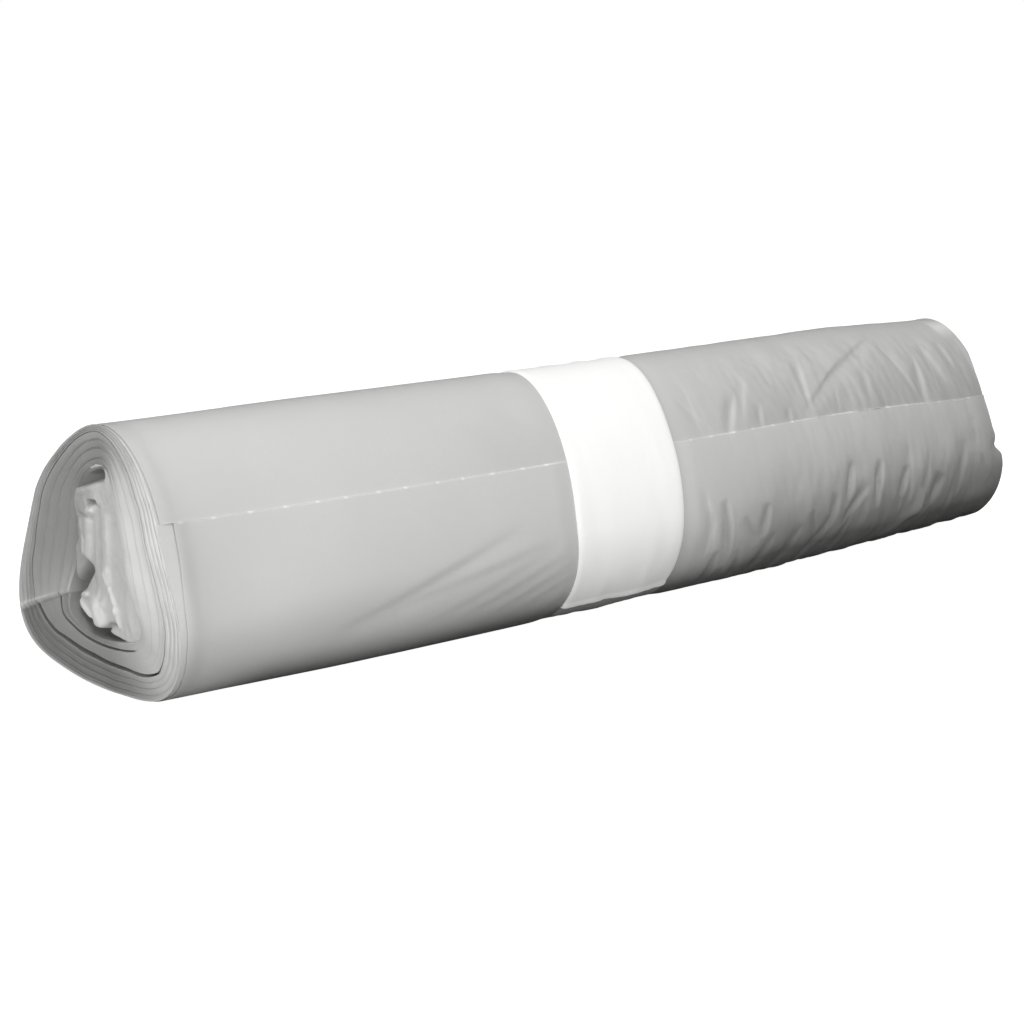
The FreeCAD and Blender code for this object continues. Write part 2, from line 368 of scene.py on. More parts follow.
# The scattered ripples
RIPPLES = 110
RIPPLE_SEED = 11
RIPPLE_X = (14.0, END - 8.0)
RIPPLE_ANGLES = ((222.0, 268.0), (300.0, 326.0), (40.0, 150.0))
RIPPLE_LENGTH = (6.0, 15.0)
RIPPLE_LEAN = 3.0
RIPPLE_DEPTH = (0.08, 0.28)
RIPPLE_WIDTH = (1.3, 2.4)
CALM_TOP = (320.0, 345.0)
CALM_BACK = (30.0, 55.0)
CALM_BELOW_EDGE = (270.0, 280.0)
CALM_BELOW_SHARE = 0.8
SLACK_CALMED = 0.85
CREASE_CALMED = 0.75


def ripples():
    """Faint small creases, scattered over the slack half of the front and the back."""
    dice = random.Random(RIPPLE_SEED)
    made = []
    for _ in range(RIPPLES):
        x = dice.uniform(*RIPPLE_X)
        angle = dice.choice([dice.uniform(*limits) for limits in RIPPLE_ANGLES])
        length = dice.uniform(*RIPPLE_LENGTH) / MM_PER_DEGREE
        lean = dice.gauss(0.0, RIPPLE_LEAN)
        depth, width = dice.uniform(*RIPPLE_DEPTH), dice.uniform(*RIPPLE_WIDTH)
        made.append((x, angle, x + lean, angle - length, depth, width))
    return tuple(made)


NEAR_CREASES = {}
for crease in CREASES + ripples():
    low, high = sorted((crease[0], crease[2]))
    for place in range(int(low - CREASE_MARGIN), int(high + CREASE_MARGIN) + 1):
        NEAR_CREASES.setdefault(place, []).append(crease)
print(len(CREASES), "creases from the photograph and", RIPPLES, "faint ones")


def crease_depth(x, angle, crease):
    """How far one crease pushes the film in at a place on its skin."""
    x0, angle0, x1, angle1, depth, width = crease
    run_x, run_s = x1 - x0, (angle1 - angle0) * MM_PER_DEGREE
    off_x, off_s = x - x0, (angle - angle0) * MM_PER_DEGREE
    length_squared = run_x * run_x + run_s * run_s
    along = (off_x * run_x + off_s * run_s) / length_squared
    if not -CREASE_STRETCH < along < 1.0 + CREASE_STRETCH:
        return 0.0
    across = (off_x * run_s - off_s * run_x) / math.sqrt(length_squared) / (width * CREASE_NARROWING)
    if abs(across) > CREASE_REACH:
        return 0.0
    across *= 1.0 + CREASE_LEAN * math.tanh(across * 2.0)
    taper = math.sin(math.pi * (along + CREASE_STRETCH) / (1.0 + 2.0 * CREASE_STRETCH))
    return depth * taper * math.exp(-across * across) * (1.0 - RIDGE_SHARE * across * across)


def edge_angle(x):
    """The angle of the film's free edge, which drops a little near the right end."""
    return EDGE_ANGLE - EDGE_DROP * between(x, *EDGE_DROP_X)


def slackness(x, angle):
    """How slack the film is: taut on the left, slack on the right, calm at the top and below the edge."""
    along = smooth((x - SLACK_START) / SLACK_FADE)
    calm = between(angle, *CALM_TOP) if angle > FULL_TURN / 2 else 1.0 - between(angle, *CALM_BACK)
    if angle < edge_angle(x):
        calm = max(calm, CALM_BELOW_SHARE * between(angle, *CALM_BELOW_EDGE))
    return along * (1.0 - SLACK_CALMED * calm)


def wrinkle(x, angle):
    """How far the film is pushed in by all its creases and its soft unevenness."""
    calm = between(angle, *CALM_BELOW_EDGE) if angle < edge_angle(x) else 0.0
    inward = sum(crease_depth(x, angle, crease) for crease in NEAR_CREASES.get(int(x), ()))
    skin = (x * NOISE_GRAIN[0], angle * MM_PER_DEGREE * NOISE_GRAIN[1], NOISE_LAYER)
    swell = TAUT_SWELL + (SLACK_SWELL - TAUT_SWELL) * slackness(x, angle)
    strength = CREASE_STRENGTH if angle > edge_angle(x) - LOW_START else LOW_STRENGTH
    return inward * strength * (1.0 - CREASE_CALMED * calm) + swell * cloudy(skin, 0.9, 2.1)


# %% [markdown]
# ## The free edge
# The last bag was torn off along its perforation, so the outermost turn ends in a straight edge along the
# front, drawn with a thin painted highlight and a bright painted bead at each bridge of the perforation.
# The last turn's left edge is drawn in a little from the roll's end.

# %% Describe the free edge
FILM_STEP = 0.3
LIP_LIFT = 0.12
# Angle and inset in millimetres, from the free edge down and round
INSETS = (
    (0, 0.5), (150, 0.5), (200, 1), (228, 1.6), (247, 1.4), (265, 2.2), (282, 3.9),
    (EDGE_ANGLE, 4.4), (EDGE_ANGLE + 0.1, 0.9), (FULL_TURN, 0.6))
INSET_FADE = 14.0


def along_stops(stops, value):
    """The value between the stops of a list of pairs."""
    for (start, low), (end, high) in zip(stops, stops[1:]):
        if value <= end:
            return low + (high - low) * max(0.0, (value - start) / (end - start))
    return stops[-1][1]


# %% [markdown]
# ## The layers at an end
# At the ends the turns show as two groups: a thin outer one and a thick inner one. Below, where the outer
# group has sagged away, a gap opens between them, and a narrower one inside the inner group. Fine grooves
# part the layers. One row list walks across the wall, into each groove and out again, so that the grooves
# are real.

# %% Lay out the rows across an end
# Where the grooves lie across each group; one of them opens into the second gap
GROOVES = {"outer": (0.25, 0.5, 0.75), "gap": (), "inner": (0.2, 0.42, 0.7, 0.9)}
SECOND_GAP = 0.7
SECOND_GAP_DEPTH = 5.0
GROOVE_HALF_WIDTH = 0.3
GAP_WIDTH = 0.3
GAP_OPENING = 0.9
GAP_DEPTH = 9.0
GAP_DEPTH_CLOSED = 0.45
# The angles between which the two gaps open and close
GAP_OPENS = (111.0, 116.0)
GAP_CLOSES = (236.0, 208.0)
SECOND_OPENS = (111.0, 119.0)
SECOND_CLOSES = (222.0, 200.0)
# Angle and how far across the wall the gap lies there
GAP_SHARES = (
    (0, 0.17), (30, 0.16), (60, 0.22), (90, 0.30), (120, 0.46), (150, 0.57), (178, 0.60),
    (204, 0.54), (228, 0.32), (250, 0.31), (290, 0.36), (330, 0.32), (348, 0.22), (360, 0.17))


def end_rows():
    """The rows across one end: the layer group, how far across it, and which side of a groove it is on."""
    rows = []
    for group, places in GROOVES.items():
        before = 0.0
        for across in places or (0.0,):
            rows += [(group, (before + across) / 2, 0)] if places else []
            rows += [(group, across, side) for side in (-2, -1, 1, 2)]
            before = across
        rows += [(group, (before + 1.0) / 2, 0)] if places else []
    return rows + [("inner", 0.98, 0)]


def gap_opening(angle):
    """How far the gap between the groups stands open: 1 below, where the outer group has sagged away."""
    return between(angle, *GAP_OPENS) * between(angle, *GAP_CLOSES)


def second_gap(angle, group, across):
    """How far the narrow gap inside the inner group stands open."""
    if group != "inner" or across != SECOND_GAP:
        return 0.0
    return between(angle, *SECOND_OPENS) * between(angle, *SECOND_CLOSES)


END_ROWS = end_rows()
print("rows across an end:", len(END_ROWS))

# %% [markdown]
# The layers aren't flush. Below the crease that crosses the left end's back corner they lie deeper; above
# it they are pressed into one smooth slope into the hollow. In front, the inner group stands out.

# %% Shape the relief of the ends
CREASE_ANGLE = 113.0
STEP_BELOW_CREASE = 0.8
CREASE_RIDGE = 0.45
FRONT_STEP = 1.6
BACK_SLOPE = 5.0
TOP_SLOPE = 2.0
MOUTH_ROUNDING = 0.8
END_UNEVENNESS = 0.35
GROOVE_DEPTH = 0.15
LEAST_DEPTH = -0.6
# Where the part below the crease begins and ends
BELOW_BEGINS = (CREASE_ANGLE, CREASE_ANGLE + 2.0)
BELOW_ENDS = (250.0, 225.0)
BELOW_SHADE_ENDS = (232.0, 187.0)
# Middle angle and spread of the sides that have a form of their own
FRONT_SIDE = (285.0, 75.0)
BACK_SIDE = (75.0, 70.0)
TOP_SIDE = (5.0, 60.0)
GROOVED_TOP = (10.0, 70.0)
GROOVED_TOP_INNER = (10.0, 75.0)
# Middle angle, spread and strength of an end's painted light and painted shades
END_PAINTED_LIGHT = (285.0, 85.0)
BACK_SHADE = (54.0, 90.0, 0.6)
BACK_LOW_SHADE = (100.0, 45.0, 0.2)
TOP_SHADE = (8.0, 55.0, 0.5)
GAP_SHADE = (20.0, 80.0, 0.3)
GAP_SHADE_LEAST = 0.2
BELOW_SHADE_OUTER = 0.86
BELOW_SHADE_INNER = 0.6
PAST_GAP_SHADE = 0.16
GROOVE_SHADE = 0.6
# Half the width of a groove's floor, and how much its floor and its mouth grow in the second gap
GROOVE_FLOOR = 0.1
SECOND_GROWTH = (0.22, 0.12)
GAP_SLOPE = (0.9, 1.12)


def groove_depth(angle, group):
    """How deep a groove between layers is: the inner group shows its layers only at the top."""
    shown = facing(angle, *GROOVED_TOP_INNER) if group == "inner" else 1.0
    return GROOVE_DEPTH * (1.0 + facing(angle, *GROOVED_TOP)) * shown


def ridge(angle, share, width):
    """The low ridge along the crease, which runs out towards the hollow."""
    return hump(angle - CREASE_ANGLE + 1.0, width) * smooth((0.95 - share) * 3.0)


def end_depth(side, angle, share, group, across, groove):
    """How far inside the roll's end a point of the end's relief lies."""
    below = between(angle, *BELOW_BEGINS) * between(angle, *BELOW_ENDS)
    depth = STEP_BELOW_CREASE * below * (0.5 + 0.5 * share)
    depth -= CREASE_RIDGE * ridge(angle, share, 1.2) * smooth(share * 6.0)
    if group == "inner":
        depth += FRONT_STEP * (1.0 - across) ** 2 * facing(angle, *FRONT_SIDE)
        depth += across * (BACK_SLOPE * facing(angle, *BACK_SIDE) + TOP_SLOPE * facing(angle, *TOP_SIDE))
        depth += MOUTH_ROUNDING * across ** 6
    place = roll_place(side * END, angle, share)
    depth += END_UNEVENNESS * cloudy((side * 3.0, place.y * 0.07, place.z * 0.07), 0.8)
    if groove in (-1, 1):
        closed = GAP_DEPTH_CLOSED if group == "gap" else groove_depth(angle, group)
        depth += closed + GAP_DEPTH * gap_opening(angle) * (group == "gap")
        depth += SECOND_GAP_DEPTH * second_gap(angle, group, across)
    return max(depth, LEAST_DEPTH)


def end_masks(angle, share, group, across, groove):
    """The painted light and painted shade of a point of an end's relief."""
    below = between(angle, *BELOW_BEGINS) * between(angle, *BELOW_SHADE_ENDS)
    # Painted light: the front wall's end lighter where light would come through, and a painted highlight on
    # the crease's ridge
    painted_light = max(facing(angle, *END_PAINTED_LIGHT) * (1.0 - below), 0.8 * ridge(angle, share + 0.05, 1.3))
    # Painted shade at the back, at the top and below the crease
    back = facing(angle, *BACK_SHADE) + facing(angle, *BACK_LOW_SHADE)
    low = BELOW_SHADE_INNER + PAST_GAP_SHADE * (across > SECOND_GAP)
    low = BELOW_SHADE_OUTER if group == "outer" else low
    shade = max(back * smooth(share * 3.0), facing(angle, *TOP_SHADE) * smooth(share * 2.0), low * below)
    # Painted shade in the gaps and grooves, where the painted light is dimmed
    if groove in (-1, 1):
        if group == "gap":
            shade = max(shade, gap_opening(angle), GAP_SHADE_LEAST + facing(angle, *GAP_SHADE))
        else:
            shade += groove_depth(angle, group) * GROOVE_SHADE
        shade = max(shade, 0.95 * second_gap(angle, group, across))
        painted_light *= GROOVE_SHADE
    return painted_light, shade


def end_place(side, angle, row):
    """A point of the relief at one end (side -1 left, 1 right) and its masks."""
    group, across, groove = END_ROWS[row]
    wall = (roll_place(side * END, angle, 1.0) - roll_place(side * END, angle)).length
    near, half = along_stops(GAP_SHARES, angle), (GAP_WIDTH + GAP_OPENING * gap_opening(angle)) / 2 / wall
    if group == "outer":
        share = across * (near - half)
    elif group == "inner":
        share = near + half + across * (1.0 - near - half)
    else:
        share = near
    if groove:
        second = second_gap(angle, group, across)
        narrow = (GROOVE_FLOOR + SECOND_GROWTH[0] * second) / wall
        wide = (GROOVE_HALF_WIDTH + SECOND_GROWTH[1] * second) / wall
        if group == "gap":
            narrow, wide = GAP_SLOPE[0] * half, GAP_SLOPE[1] * half
        share += (wide if abs(groove) == 2 else narrow) * (1.0 if groove > 0 else -1.0)
    depth = end_depth(side, angle, share, group, across, groove)
    place = roll_place(side * END, angle, share)
    place += inwards(side * END, angle) * (rim_depth(side, angle) * (1.0 - share) ** 2)
    place.x -= side * (depth + right_inset(angle) * (side > 0) * (1.0 - share) ** 2)
    return place, (share * wall, *end_masks(angle, share, group, across, groove), 0.0)


# %% [markdown]
# ## The outer turns
# The outer turns get their own fine grids: a coarser one for the taut left half and a finer one for the
# slack right half, which meet out of sight under the band. The rows go along the outside and back
# underneath. The columns start at the free edge and wind inwards as the film does, so between the last
# column and the first lies the step of the film's thickness.

# %% Lay out the outer turns
END_BLEND_START = 4.0
END_BLEND = 12.0
TURNS_DEPTH = 2.9
NOTCH_ANGLE = 267.0
NOTCH_DEPTH = 2.0
# Angle and inset in millimetres of the right end
RIGHT_INSETS = (
    (0, 0.8), (180, 1), (235, 0.8), (255, 0.6), (262, 1.2), (270, 3.5), (277, 5),
    (290, 5.2), (305, 3.7), (318, 1.3), (335, 1), (360, 0.8))
INSET_REACH = 45.0
RIM_REACH = 12.0
SKEW_REACH = 45.0
# Painted light patches on the skin: where they set in, middle angle, spread and strength
LIGHT_PATCHES = (
    (163, 167, 342, 16, 0.8), (END - 5.5, END - 4, 300, 60, 0.35), (6 - END, 2 - END, 300, 80, 0.2))
# Painted shade patches, and the angles between which they set in
DARK_PATCHES = (((5, 55, 240, 95, 0.8), (300, 234)), ((-120, -50, 240, 95, 0.3), (265, 225)))
# A faint painted shade beside the inset edge
DARK_EDGE = (30 - END, 4 - END, 268, 40, 0.14)
DARK_EDGE_END = (3.0 - END, 6.0 - END)
# The painted shadow next to the floor
CONTACT_SHADE = 1.1
CONTACT_HEIGHT = 14.0
CONTACT_BEGINS = (2.0 - END, 32.0 - END)
# The wound layers' columns are turned against the outer turns'
BACKING_TURN = 0.3


def evenly(start, end, count):
    """Count places from start up to, but not at, end."""
    return [start + (end - start) * index / count for index in range(count)]


def column_angles(front, back):
    """The angles of the columns, with so many on the front and so many on the back."""
    edge = [EDGE_ANGLE - off for off in (0.0, 0.3, 0.8)]
    above = [EDGE_ANGLE + off - FULL_TURN for off in (1.0, 0.5, 0.15)]
    upper, lower = front * 2 // 5, front * 3 // 5
    angles = edge + evenly(edge[-1] - 0.8, 205.0, lower) + evenly(205.0, -10.0, back)
    return angles + evenly(-10.0, above[0], upper) + above


def wound_angle(angle, x):
    """Turns a column so that the first follows the free edge."""
    return angle + edge_angle(x) - EDGE_ANGLE


def right_inset(angle):
    """How far the right end's upper front is drawn in, with a notch under it."""
    angle %= FULL_TURN
    return along_stops(RIGHT_INSETS, angle) + NOTCH_DEPTH * hump(angle - NOTCH_ANGLE, 3.0)


def rim_depth(side, angle):
    """How far the wrinkles push in the rim of an end."""
    angle %= FULL_TURN
    return 0.25 * wrinkle(side * END, angle) + (1.0 * hump(angle - NOTCH_ANGLE, 4.0) if side > 0 else 0.0)


def skin_depth(x, angle, wound):
    """How deep the film's outer skin lies under the plain form of the roll."""
    level = roll_place(x, angle).z
    inside = smooth((END - abs(x)) / RIM_REACH)
    at_rim = rim_depth(math.copysign(1.0, x), angle)
    creased = wrinkle(x, angle % FULL_TURN) * inside + at_rim * (1.0 - inside)
    pressed_in = squeeze(x, level)
    return (FILM_STEP * wound + creased) * (1.0 - pressed_in) + BAND_SINK * pressed_in


def skewed(x, angle):
    """Moves a row so that the rows by the band follow its skew, and the rows at the right end its inset."""
    beside = max(abs(x - BAND_X) - BAND_WIDTH / 2, 0.0)
    skew = BAND_SKEW * (roll_place(x, angle).z / ROLL_HEIGHT - 0.5) * (1.0 - smooth(beside / SKEW_REACH))
    return x + skew - right_inset(angle) * near_right(x, INSET_REACH)


def pulled_in(x, angle):
    """Moves a row near the left end so that it starts at the last turn's inset edge."""
    return x + along_stops(INSETS, angle) * near_left(x, INSET_FADE)


BESIDE_BAND = (-4.0, -2.5, -1.5, -0.8, -0.3, 0.1, 0.8)
BAND_LEFT = BAND_X - BAND_WIDTH / 2
BAND_RIGHT = BAND_X + BAND_WIDTH / 2
LEFT_XS = evenly(-END, BAND_LEFT - 5.0, 105) + [BAND_LEFT + off for off in BESIDE_BAND]
LEFT_XS += [BAND_LEFT + 4.0, BAND_X]
LEFT_UNDER = [BAND_X] + evenly(BAND_LEFT, 4.0 - END, 8) + [4.0 - END, 0.3 - END]
RIGHT_XS = [BAND_X, BAND_RIGHT - 4.0] + [BAND_RIGHT - off for off in reversed(BESIDE_BAND)]
RIGHT_XS += evenly(BAND_RIGHT + 4.6, END, 310) + [END]
RIGHT_UNDER = [END - 0.3] + evenly(END - 4.0, BAND_RIGHT, 8) + [BAND_X]
print("rows outside:", len(LEFT_XS), "left and", len(RIGHT_XS), "right")

# %% Shape the outer turns


def inside_end(x):
    """0 at both ends, where the skins lie close, and 1 further in."""
    return smooth((END - abs(x) - END_BLEND_START) / END_BLEND)


def patch(x, angle, start, end, *side):
    """How strong a patch of painted light or painted shade is at a place of the skin."""
    return between(x, start, end) * facing(angle, *side)


def skin_place(angles, rows, column, row):
    """A point of the outer turns, with the free edge, the wrinkles and the band's squeeze."""
    base, outside = rows[row]
    angle = wound_angle(angles[column], base)
    x = skewed(pulled_in(base, angles[column] % FULL_TURN), angle)
    depth = skin_depth(x, angle, column / (len(angles) - 1))
    # Painted highlight along the free edge, the top of the step and the left inset edge
    edge = 0.0
    if outside:
        edge = {0: 1.0, 1: 0.8, len(angles) - 1: 0.6}.get(column, 0.0)
        depth -= LIP_LIFT * (column == 0)
        if x < 0.0:
            edge = max(edge, 0.5 * smooth(1.0 - row / 2.0) * facing(angle, 250.0, 70.0))
    else:
        depth += FILM_STEP * 0.9 + (TURNS_DEPTH - depth) * inside_end(base)
    place = roll_place(x, angle) + inwards(x, angle) * depth
    place.z = max(place.z, 0.0 if outside else 0.1)
    # Painted highlights and painted shade on the skin, and a painted shadow next to the floor
    light = max(patch(x, angle, *values) for values in LIGHT_PATCHES)
    dark = max(patch(x, angle, *values) * between(angle, *limits) for values, limits in DARK_PATCHES)
    dark = max(dark, patch(x, angle, *DARK_EDGE) * between(x, *DARK_EDGE_END))
    dark += CONTACT_SHADE * smooth(1.0 - place.z / CONTACT_HEIGHT) ** 1.4 * between(x, *CONTACT_BEGINS)
    return place, (0.0, light, dark, edge)


def outer_turns(name, outside, under, front, back):
    """One half of the outer turns."""
    angles = column_angles(front, back)
    rows = [(x, True) for x in outside] + [(x, False) for x in under]
    return wrapped(name, len(angles), len(rows), lambda column, row: skin_place(angles, rows, column, row))


left_turns = outer_turns("film_outer_turns_left", LEFT_XS, LEFT_UNDER, 120, 90)
right_turns = outer_turns("film_outer_turns_right", RIGHT_XS, RIGHT_UNDER, 190, 70)

# %% [markdown]
# ## The wound layers
# Everything inside the outer turns is one closed skin. Its rows go along the outside, across the right
# end, back through the hollow and across the left end.

# %% Shape the wound layers
HOLLOW_ROWS = 26
HOLLOW_UNEVENNESS = 0.9
HOLLOW_INSET = 7.0
# Painted shade inside the hollow
HOLLOW_SHADE = 0.35
# A little painted light on the wound layers' outside
BACKING_PAINTED_LIGHT = 0.08
LAYER_XS = (0.0, 0.4, 1.5, 2.6, 4.0, 7.0, 11.0, 16.0, 22.0, 60.0, 110.0, 150.0)
BACKED_DEPTH = 3.3
LAYER_ROWS = [("outside", x - END) for x in LAYER_XS]
LAYER_ROWS += [("outside", END - x) for x in reversed(LAYER_XS)]
LAYER_ROWS += [("right", index) for index in range(len(END_ROWS))]
LAYER_ROWS += [("hollow", (index + 0.5) / HOLLOW_ROWS) for index in range(HOLLOW_ROWS)]
LAYER_ROWS += [("left", index) for index in reversed(range(len(END_ROWS)))]


def backing_place(column, base):
    """A point of the wound layers' outside, just under the outer turns."""
    angle = wound_angle(LAYER_ANGLES[column], base) + BACKING_TURN
    x = skewed(base, angle)
    depth = skin_depth(x, angle, column / (len(LAYER_ANGLES) - 1)) + FILM_STEP
    depth += (BACKED_DEPTH - depth) * inside_end(base)
    place = roll_place(x, angle) + inwards(x, angle) * depth
    place.z = max(place.z, 0.2)
    return place, (0.0, BACKING_PAINTED_LIGHT, 0.0, 0.0)


def hollow_place(angle, along):
    """A point of the open middle, uneven as slack film is."""
    x = (END - HOLLOW_INSET) * (1.0 - 2.0 * along)
    place = roll_place(x, angle, 1.0)
    uneven = cloudy((x * 0.03, place.y * 0.09, place.z * 0.09), 0.9)
    return place + inwards(x, angle) * (HOLLOW_UNEVENNESS * uneven), (0.0, 0.0, HOLLOW_SHADE, 0.0)


LAYER_ANGLES = column_angles(150, 120)


def layer_place(column, row):
    """A point of the wound layers and its masks."""
    part, value = LAYER_ROWS[row]
    if part == "outside":
        return backing_place(column, value)
    angle = LAYER_ANGLES[column] % FULL_TURN
    if part == "hollow":
        return hollow_place(angle, value)
    return end_place(1 if part == "right" else -1, angle, value)


layers = wrapped("film_wound_layers", len(LAYER_ANGLES), len(LAYER_ROWS), layer_place)

# %% [markdown]
# ## The crumpled start of the film
# The film's first end hangs loose in the hollow: a thin sheet that drops from the top, crumples and ends in
# a small cup at the bottom. It is a grid laid along a path, pushed about by noise and given a thickness.

# %% Lay out the loose start
# Places across and up, from the hollow's top to its bottom
LOOSE_PATH = (
    (3, 57), (10, 52.5), (6, 48.5), (8.5, 43), (8, 36), (8, 29), (11.5, 24), (7, 18.5),
    (3.5, 14), (0, 17.5), (-5, 20))
LOOSE_COLUMNS = 120
LOOSE_ROWS = 150
LOOSE_PATH_SHIFT = 2.0
LOOSE_END_INSET = 2.0
LOOSE_LEFT_INSET = 14.0
LOOSE_THICKNESS = 0.35
LOOSE_CRUMPLE = 1.5
LOOSE_FINE = 0.5
LOOSE_LIFT = 0.7
# Painted light on the loose sheet, where light would come through it
LOOSE_PAINTED_LIGHT = 0.6
LOOSE_RAG_REACH = 40.0


def along_path(path, share):
    """A point at a share of a path whose corners are rounded off."""
    step = share * (len(path) - 2)
    index = min(int(step), len(path) - 3)
    before, corner, after = (Vector(point) for point in path[index:index + 3])
    start, end = (before + corner) / 2, (corner + after) / 2
    way = step - index
    return start.lerp(corner, way).lerp(corner.lerp(end, way), way)


def loose_place(down, along):
    """A point of the loose sheet."""
    across, up = along_path(LOOSE_PATH, down)
    x = LOOSE_LEFT_INSET - END + (2 * END - LOOSE_END_INSET - LOOSE_LEFT_INSET) * along
    side = 1.0 if x > 0 else 5.0
    ragged = 2.0 * noise.noise(Vector((down * 5.0, side, 0.0))) + 4.0 * smooth((0.55 - abs(down - 0.4)) * 2.0)
    x -= math.copysign(ragged, x) * near_right(abs(x), LOOSE_RAG_REACH)
    push = LOOSE_CRUMPLE * cloudy((x * 0.11, down * 2.2, 2.0), 0.7, 2.2)
    push += LOOSE_FINE * cloudy((x * 0.3, down * 9.0, 4.0), 0.6, 2.2)
    lift = LOOSE_LIFT * noise.noise(Vector((x * 0.12, down * 6.0, 9.0)))
    across += FORWARD_BOW + roll_shift - TOP_LEAN / 2 - LOOSE_PATH_SHIFT
    return Vector((x, across + push, up + lift)), (0.0, LOOSE_PAINTED_LIGHT, 0.0, 0.0)


def sheet(name, columns, rows, place):
    """A thin sheet: place gives the position in mm and the masks for two shares from 0 to 1."""
    piece = finished(name, laid_out(columns, rows, place))
    thickness = piece.modifiers.new("thickness", "SOLIDIFY")
    thickness.thickness = LOOSE_THICKNESS * MM
    thickness.offset = 0.0
    return piece


inner_start = sheet("film_inner_start", LOOSE_COLUMNS, LOOSE_ROWS, loose_place)

# %% [markdown]
# At the left end the sheet is crumpled into the mouth of the hollow. Its folds are ridges and valleys along
# short lines. A pocket stays open above it, a slit in it, and a gap under it.

# %% Crumple the sheet into the left mouth
# Across and up of both ends of each fold, how far it stands out (or, below zero, in) and its width
FOLDS = (
    (4.5, 54.6, 15.5, 51.8, -8, 1.4), (5, 56.6, 14.5, 54.2, 1.2, 1.2),
    (6, 52, 15, 49.5, 0.7, 1.1), (7.3, 47, 11.2, 46.7, -3.5, 0.55),
    (8.6, 44.8, 10.8, 44.5, 1.6, 0.9), (16, 42.9, 10, 42.6, -0.7, 0.5),
    (11.3, 41.8, 12.8, 31, 1.5, 2), (15.6, 41, 15.4, 33, 0.7, 1.1),
    (15.4, 37.9, 14.2, 36.2, -0.7, 0.5), (6, 45.5, 7.2, 22.1, -1.5, 1.1),
    (1.5, 43.5, 2.8, 30.5, 1, 2), (-3.2, 45, -5.6, 30, -0.9, 1.4),
    (2.3, 30, 1.8, 27.6, 1.2, 1.2), (3.9, 29.1, -1.2, 20.4, 1.2, 0.8),
    (-1.2, 20.8, -2, 16.8, 1.2, 0.8), (13, 29.5, 20.5, 21, -4, 1.9),
    (16.8, 21.8, 13.7, 22.3, 1.3, 0.7), (16.6, 20, 11.5, 15.6, 1.1, 0.8),
    (8.6, 20.6, 7.4, 15.4, 2.4, 2.8), (7.6, 13.2, 3.2, 15.6, -2.2, 0.8),
    (3.2, 15.8, -1, 16.9, -2.2, 0.7), (10, 26, 9, 22, -0.7, 1.2),
    (2.5, 25, 5, 21, 0.6, 0.8), (-6.5, 25, -8.5, 17, 0.6, 1.6),
)
# Across and up of the mouth's front edge, and of the gap under the sheet
MOUTH_FRONT = (
    (12, -13), (19.2, -11.6), (28, -9.6), (36.2, -6.7), (44.4, -4.7), (50.7, -2.5), (56.5, 2.6))
MOUTH_FLOOR = ((-14, 14), (-5.5, 13.2), (2.9, 14.3), (11.4, 16), (18.3, 18.4), (24, 22))
MOUTH_BACK = ((12, 21.5), (20, 23.5), (30, 21.5), (42, 20.5), (52, 17.5), (57, 13))
MOUTH_TOP = 57.2
MOUTH_COLUMNS = 150
MOUTH_ROWS = 190
MOUTH_DEPTH = 2.6
BACK_DEPTH = 5.2
TOP_DEPTH = 3.6
MOUTH_TOP_Z = (38.0, 48.0)
# Painted light on the crumpled sheet and painted highlights on its raised folds; painted shade at its back
# and in its valleys
MOUTH_PAINTED_LIGHT = 0.65
FOLD_PAINTED_HIGHLIGHT = 0.35
MOUTH_BACK_SHADE = 0.5
VALLEY_SHADE = 0.45
MOUTH_CRUMPLE = 0.4
FOLD_STRENGTH = 0.75
FOLD_MELT = 0.25


def fold_height(y, z, fold):
    """How far one fold stands out at a place of the mouth."""
    y0, z0, y1, z1, height, width = fold
    run_y, run_z = y1 - y0, z1 - z0
    length_squared = run_y * run_y + run_z * run_z
    along = ((y - y0) * run_y + (z - z0) * run_z) / length_squared
    past = max(-along, along - 1.0, 0.0) * math.sqrt(length_squared)
    across = ((y - y0) * run_z - (z - z0) * run_y) / math.sqrt(length_squared)
    return height * hump(math.hypot(across, past), width) * (1.0 - FOLD_MELT * smooth(abs(along - 0.5)))


def mouth_place(across, up):
    """A point of the crumpled sheet in the left mouth."""
    floor = along_stops(MOUTH_FLOOR, MOUTH_FRONT[0][1] + across * (MOUTH_BACK[1][1] - MOUTH_FRONT[0][1]))
    z = floor + (MOUTH_TOP - floor) * up
    front, back = along_stops(MOUTH_FRONT, z) - 1.0, along_stops(MOUTH_BACK, z)
    y = front + (back - front) * across
    back_depth = BACK_DEPTH + (TOP_DEPTH - BACK_DEPTH) * between(z, *MOUTH_TOP_Z)
    depth = MOUTH_DEPTH + (back_depth - MOUTH_DEPTH) * smooth(across * 1.2 - 0.2)
    depth += 1.6 * smooth((across - 0.92) * 12.0) + 1.2 * smooth((0.12 - across) * 8.0)
    crumple = cloudy((y * 0.22, z * 0.13, 5.0), 0.75, 2.2)
    folds = sum(fold_height(y, z, fold) for fold in FOLDS)
    depth -= folds * (FOLD_STRENGTH if folds > 0.0 else 1.0) - MOUTH_CRUMPLE * crumple
    # Painted highlights on the folds, painted shade in the valleys and at the back
    painted_light = MOUTH_PAINTED_LIGHT + FOLD_PAINTED_HIGHLIGHT * smooth(folds)
    shade = MOUTH_BACK_SHADE * smooth((across - 0.4) * 2.2) * between(z, 16.0, 26.0)
    shade = (shade + VALLEY_SHADE * smooth(-folds / 3.5)) * (1.0 - 0.6 * smooth(folds))
    return Vector((max(depth, 0.2) - END, y, z)), (0.0, painted_light, shade, 0.0)


crumple = sheet("film_crumple", MOUTH_COLUMNS, MOUTH_ROWS, mouth_place)

